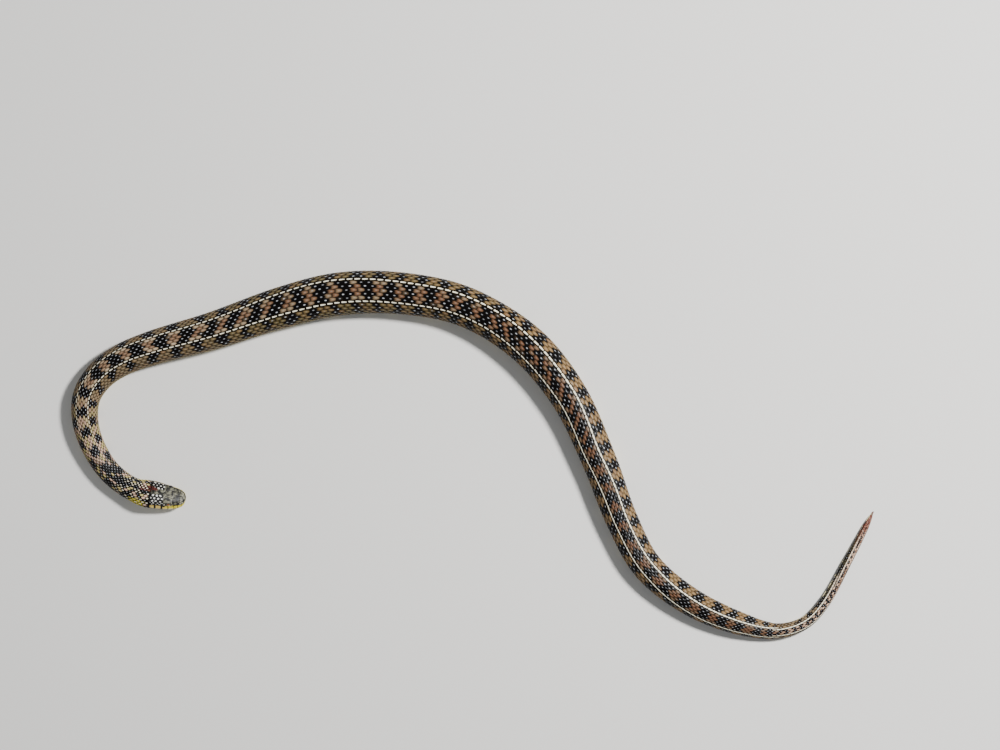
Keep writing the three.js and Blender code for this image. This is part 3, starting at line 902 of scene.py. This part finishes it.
# The belly has one broad plate of horn to each ring of scales and, from the parted one at the
# vent on, pairs of smaller ones under the tail. Their ends reach under the lowest row of scales,
# and each overlaps the next towards the tail.
PLATE_COLUMNS, SMALL_COLUMNS, PLATE_ROWS = 16, 6, (0, 0.35, 0.8, 1)
PLATE_RISE, PLATE_SUNK, FRONT_SUNK, PLATE_THICK = 0.75, 0.1, 0.3, 0.22
PLATE_BOW, PLATE_FORWARD, PLATE_TAPER = 0.12, 0.06, 0.04
PLATE_LENGTH, SMALL_LENGTH, PLATE_DEPTH = 1.3, 1.35, 0.8  # of the ring's pitch, and the coat
PLATE_UNDER = 0.6  # of the lowest scale's width
VENT_GAP, LAST_PLATE = 1.5, LENGTH - 2.5
SMALL_WIDER, SMALL_INWARD = 3, 1  # degrees by which the tail's pairs overlap


def plate_mesh(name, columns):
    """One plate, a unit long and wide, its front edge sunk and rear edge free and bowed."""
    points, grain = [], []
    for far in PLATE_ROWS:
        for a in np.linspace(-1, 1, columns + 1):
            x = far + PLATE_BOW * (1 - a * a) * far - PLATE_FORWARD
            rise = PLATE_RISE * far**0.8 - (PLATE_SUNK if far else FRONT_SUNK)
            points.append((x, a / 2 * (1 - PLATE_TAPER * far), rise))
            grain.append((a, far, 0))
    m, n = columns + 1, len(PLATE_ROWS)
    last, low = (n - 1) * m, n * m
    for j in [*range(m), *range(last, n * m)]:
        x, y, z = points[j]
        points.append((x, y, z - PLATE_THICK))
        grain.append((*grain[j][:2], -1))
    faces = [(low + j, low + j + 1, low + m + j + 1, low + m + j) for j in range(columns)]
    faces += [(j, j + 1, low + j + 1, low + j) for j in range(columns)]
    faces += [(last + j + 1, last + j, low + m + j, low + m + j + 1) for j in range(columns)]
    faces += [(low, low + m, *(i * m for i in range(n - 1, -1, -1))),
              (low + 2 * m - 1, low + m - 1, *(i * m + m - 1 for i in range(n)))]
    return template_mesh(name, points, grain, faces + sheet(n, m))


PLATE_OCHRE, PLATE_BLACK, PLATE_EDGE = paint(206, 164, 104), paint(22, 22, 26), paint(120, 104, 70)
SQUARES_COME, SQUARES_THICKEN = (26, 32), (60, 640)


def plate_finish():
    finish = Finish("belly_plates")
    s, far, draw = (finish.parts(name)[i] for name, i in (("mark", 0), ("grain", 1), ("draw", 0)))
    cloud = finish.speckle(170.0, 1.0)
    colour = finish.mix(BELLY_PALE, PLATE_OCHRE, cloud.rise(0.45, 0.7) * 0.6)
    square = (cloud + (draw - 0.5) * 0.2 + s.rise(*SQUARES_THICKEN) * 0.12).rise(0.56, 0.6)
    colour = finish.mix(colour, PLATE_BLACK, square * s.rise(*SQUARES_COME))
    colour = finish.mix(colour, PLATE_EDGE, far.rise(0.86, 1.0) * 0.5)
    fine = finish.speckle(1500.0)
    rough = 0.36 + 0.15 * (fine - 0.5)
    return finish.finish(colour, rough, fine, 0.00003, **{"Specular IOR Level": 0.35})


def plate_reach(s):
    """Degrees from the mid-belly to a plate's end, under the lowest row of scales."""
    p, q = row_spread(s)
    return 180 - FLANK_TURN + PLATE_UNDER * (p + 2 * q * along(EDGE_ROW, s))


PLATE_PAINT = plate_finish()
rings = np.array(scale_rings())
at = rings[rings < VENT - VENT_GAP]
length = along(RING_PITCH, at) * PLATE_LENGTH
size = np.stack([length, 2 * plate_reach(at), along(COAT, at + length) * PLATE_DEPTH], -1)
plates = laid("belly_plates", plate_mesh("plate", PLATE_COLUMNS), PLATE_PAINT, at, 180 + 0 * at,
              size, spread=0.0, seed=7)
piece("belly_plates", plates, None, "skin")

# A left plate lies half a step behind its right one, so that pairs meet in a zigzag.
pairs = rings[rings > VENT - VENT_GAP]
at = np.stack([pairs, pairs + along(RING_PITCH, pairs) * 0.5], -1).ravel()
side = np.tile([-1, 1], len(pairs))
at, side = at[at < LAST_PLATE], side[at < LAST_PLATE]
reach = plate_reach(at)
size = np.stack([along(RING_PITCH, at) * SMALL_LENGTH, reach + SMALL_WIDER,
                 along(COAT, at) * PLATE_DEPTH], -1)
plates = laid("tail_plates", plate_mesh("small_plate", SMALL_COLUMNS), PLATE_PAINT, at,
              180 + side * (reach - SMALL_INWARD) / 2, size, spread=0.0, seed=8)
piece("tail_plates", plates, None, "skin")

# The eyes are glossy balls, each under a clear scale and without lids. The pupil is round, in
# an amber ring, and the ball sits in a socket sunk in the skin.
EYE_RINGS, EYE_COLUMNS = 32, 48
LOOK_AHEAD, LOOK_OUT, LOOK_UP = 0.5, 3, 0.35
PUPIL, EYE_RING, EYE_RIM = paint(8, 7, 7), paint(176, 112, 34), paint(30, 22, 18)
IRIS_DARK, IRIS_AMBER = paint(52, 26, 12), paint(140, 84, 26)
PUPIL_EDGE = (0.34, 0.37)  # of the ball's radius


def eye_finish():
    finish = Finish("snake_eye")
    out = finish.parts("look")[0]
    streak = finish.speckle(2600.0, 3.0)
    amber = (streak + (1 - out.rise(0.42, 0.7)) * 0.4).rise(0.5, 0.9)
    colour = finish.mix(PUPIL, finish.mix(IRIS_DARK, IRIS_AMBER, amber), out.rise(*PUPIL_EDGE))
    colour = finish.mix(colour, EYE_RING, out.rise(0.345, 0.37) * (1 - out.rise(0.42, 0.47)))
    colour = finish.mix(colour, EYE_RIM, out.rise(0.72, 0.86))
    return finish.finish(colour, 0.12, **{"Coat Weight": 1.0, "Coat Roughness": 0.03})


def eye_mesh(name, side):
    """A ball of rings round the line that the eye looks along."""
    centre, ahead = (place(*np.array([[s], [side * y], [z]], float))[0] for s, y, z in (
        (EYE_S, EYE_Y, EYE_Z), (EYE_S - LOOK_AHEAD, EYE_Y + LOOK_OUT, EYE_Z + LOOK_UP)))
    pole = (ahead - centre) / np.linalg.norm(ahead - centre)
    one = np.cross(pole, (0, 0, 1))
    one /= np.linalg.norm(one)
    two = np.cross(pole, one)
    points, look = [], []
    for ring in range(1, EYE_RINGS):
        angle = math.pi * ring / EYE_RINGS
        for k in range(EYE_COLUMNS):
            spin = 2 * math.pi * k / EYE_COLUMNS
            out = one * math.cos(spin) + two * math.sin(spin)
            points.append(centre + EYE_RADIUS * (pole * math.cos(angle) + math.sin(angle) * out))
            look.append((math.sin(angle) if angle < math.pi / 2 else 1, 0, 0))
    step, last = EYE_COLUMNS, (EYE_RINGS - 2) * EYE_COLUMNS
    turns = [(k, (k + 1) % step) for k in range(step)]
    faces = [(r + k, r + step + k, r + step + after, r + after)
             for r in range(0, last, step) for k, after in turns]
    front = len(points)
    faces += [(front, k, after) for k, after in turns]
    faces += [(front + 1, last + after, last + k) for k, after in turns]
    points += [centre + EYE_RADIUS * pole, centre - EYE_RADIUS * pole]
    look += [(0, 0, 0), (1, 0, 0)]
    mesh = bpy.data.meshes.new(name)
    mesh.from_pydata((np.array(points) / 1000).tolist(), [], faces)
    put(mesh, "look", look)
    return rounded(mesh)


EYE_PAINT = eye_finish()
for side, sign in (("right", 1), ("left", -1)):
    piece("eyeball_" + side, eye_mesh("ball_" + side, sign), EYE_PAINT, "eye", "eye_" + side)

# The museum table: a plain pale floor, a soft key light from the upper right as the sun stood,
# a pale room round it, and a camera straight above.
FLOOR = paint(206, 204, 200)
FLOOR_CORNERS = [(-4, -4, 0), (4, -4, 0), (4, 4, 0), (-4, 4, 0)]
ROOM, ROOM_LIGHT = (0.9, 0.95, 1, 1), 0.3
# Name, azimuth, elevation, size in metres and watts.
LAMPS = [("key", 28, 50, 0.25, 64), ("fill", 200, 50, 1.6, 3)]
LAMP_AWAY = 1.6
VIEW_CENTRE, VIEW_WIDTH, VIEW_HEIGHT = (0.016, 0.047), 0.585, 1.6
FILM_WIDTH, BACK_HEIGHT = 36, 0.01  # the view's width is measured at the back's height

floor_mesh = bpy.data.meshes.new("floor")
floor_mesh.from_pydata(FLOOR_CORNERS, [], [(0, 1, 2, 3)])
floor = added("floor", floor_mesh)
floor_mesh.materials.append(Finish("floor").finish(FLOOR, 0.8))

world = bpy.data.worlds.new("room")
world.use_nodes = True
world.node_tree.nodes["Background"].inputs[0].default_value = ROOM
world.node_tree.nodes["Background"].inputs[1].default_value = ROOM_LIGHT
bpy.context.scene.world = world
for name, azimuth, elevation, size, power in LAMPS:
    lamp = bpy.data.lights.new(name, "AREA")
    lamp.shape, lamp.size, lamp.energy = "DISK", size, power
    stand = added(name, lamp)
    a, e = math.radians(azimuth), math.radians(elevation)
    away = Vector((math.cos(e) * math.cos(a), math.cos(e) * math.sin(a), math.sin(e)))
    stand.location = away * LAMP_AWAY
    stand.rotation_euler = away.to_track_quat("Z", "Y").to_euler()

camera = added("camera", bpy.data.cameras.new("camera"))
camera.data.lens = FILM_WIDTH * (VIEW_HEIGHT - BACK_HEIGHT) / VIEW_WIDTH
camera.location = (*VIEW_CENTRE, VIEW_HEIGHT)
bpy.context.scene.camera = camera
